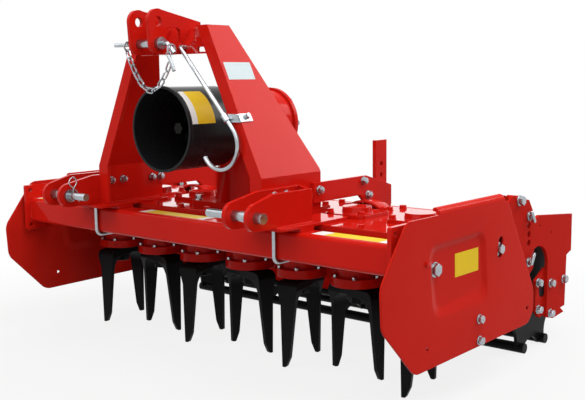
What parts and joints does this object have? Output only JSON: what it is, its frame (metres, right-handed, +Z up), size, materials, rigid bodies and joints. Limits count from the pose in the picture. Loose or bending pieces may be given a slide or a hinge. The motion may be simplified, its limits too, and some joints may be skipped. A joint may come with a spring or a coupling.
{
  "type": "tractor-mounted power harrow",
  "caption": "Red tractor-mounted power harrow: gear trough with knife-tined rotors, three-point headstock, drive shaft guard, levelling board, side plates and cage roller.",
  "frame": {"origin": "floor under the centre of the machine's box", "axes": "+X along the working width, -Y towards the tractor, +Z up"},
  "size_m": [1.56, 1.2026, 1.051],
  "materials": {
    "red_paint": "glossy red enamel",
    "black_paint": "satin black enamel",
    "zinc_plate": "bright zinc plating",
    "bright_steel": "machined steel",
    "black_plastic": "black moulded plastic"
  },
  "bodies": {
    "frame": {"tray": "red_paint", "tray_lid": "red_paint", "bearing_caps": "red_paint", "bearing_housings": "red_paint", "front_beam": "red_paint", "beam_end_plates": "red_paint", "hitch_bases": "red_paint", "hitch_inner_plates": "red_paint", "hitch_outer_plates": "red_paint", "hitch_ties": "red_paint", "tower_left": "red_paint", "tower_right": "red_paint", "top_channel": "red_paint", "top_link_plates": "red_paint", "gearbox": "red_paint", "gearbox_cover": "red_paint", "brace_arms": "red_paint", "depth_sectors": "red_paint", "deflector_left": "red_paint", "deflector_right": "red_paint", "hitch_pins": "zinc_plate", "ubolts": "zinc_plate", "top_link_pin": "zinc_plate", "arm_pivots": "zinc_plate", "deflector_studs": "zinc_plate", "depth_pins": "zinc_plate", "hook_rod": "zinc_plate", "hook_clip": "zinc_plate", "pin_chain": "zinc_plate", "pto_guard": "black_plastic"},
    "rotor_1": {"rotor_1": "black_paint"},
    "rotor_2": {"rotor_2": "black_paint"},
    "rotor_3": {"rotor_3": "black_paint"},
    "rotor_4": {"rotor_4": "black_paint"},
    "rotor_5": {"rotor_5": "black_paint"},
    "rotor_6": {"rotor_6": "black_paint"},
    "rotor_7": {"rotor_7": "black_paint"},
    "pto_shaft": {"pto_shaft": "bright_steel"},
    "levelling_board": {"levelling_board": "red_paint", "levelling_posts": "red_paint"},
    "roller_arms": {"roller_arms": "red_paint", "roller_cross_tube": "red_paint"},
    "roller": {"roller": "black_paint"}
  },
  "joints": [
    {"name": "rotor_1_spin", "type": "hinge", "parent": "frame", "child": "rotor_1", "pos_m": [-0.639, -0.13427, 0.26], "axis": [0, 0, 1], "continuous": true},
    {"name": "rotor_2_spin", "type": "hinge", "parent": "frame", "child": "rotor_2", "pos_m": [-0.426, -0.13427, 0.26], "axis": [0, 0, 1], "continuous": true},
    {"name": "rotor_3_spin", "type": "hinge", "parent": "frame", "child": "rotor_3", "pos_m": [-0.213, -0.13427, 0.26], "axis": [0, 0, 1], "continuous": true},
    {"name": "rotor_4_spin", "type": "hinge", "parent": "frame", "child": "rotor_4", "pos_m": [0, -0.13427, 0.26], "axis": [0, 0, 1], "continuous": true},
    {"name": "rotor_5_spin", "type": "hinge", "parent": "frame", "child": "rotor_5", "pos_m": [0.213, -0.13427, 0.26], "axis": [0, 0, 1], "continuous": true},
    {"name": "rotor_6_spin", "type": "hinge", "parent": "frame", "child": "rotor_6", "pos_m": [0.426, -0.13427, 0.26], "axis": [0, 0, 1], "continuous": true},
    {"name": "rotor_7_spin", "type": "hinge", "parent": "frame", "child": "rotor_7", "pos_m": [0.639, -0.13427, 0.26], "axis": [0, 0, 1], "continuous": true},
    {"name": "pto_spin", "type": "hinge", "parent": "frame", "child": "pto_shaft", "pos_m": [0, -0.33427, 0.718], "axis": [0, 1, 0], "continuous": true},
    {"name": "levelling_slide", "type": "slide", "parent": "frame", "child": "levelling_board", "axis": [0, 0, 1], "range_m": [-0.06, 0.06]},
    {"name": "roller_arm_swing", "type": "hinge", "parent": "frame", "child": "roller_arms", "pos_m": [0, -0.27527, 0.375], "axis": [1, 0, 0], "range_deg": [-3, 3]},
    {"name": "roller_spin", "type": "hinge", "parent": "roller_arms", "child": "roller", "pos_m": [0, 0.40973, 0.19154], "axis": [1, 0, 0], "continuous": true}
  ],
  "couplings": [
    {"joint": "rotor_1_spin", "follows": "rotor_4_spin", "ratio": -1},
    {"joint": "rotor_2_spin", "follows": "rotor_4_spin", "ratio": 1},
    {"joint": "rotor_3_spin", "follows": "rotor_4_spin", "ratio": -1},
    {"joint": "rotor_5_spin", "follows": "rotor_4_spin", "ratio": -1},
    {"joint": "rotor_6_spin", "follows": "rotor_4_spin", "ratio": 1},
    {"joint": "rotor_7_spin", "follows": "rotor_4_spin", "ratio": -1},
    {"joint": "pto_spin", "follows": "rotor_4_spin", "ratio": 1.93}
  ]
}
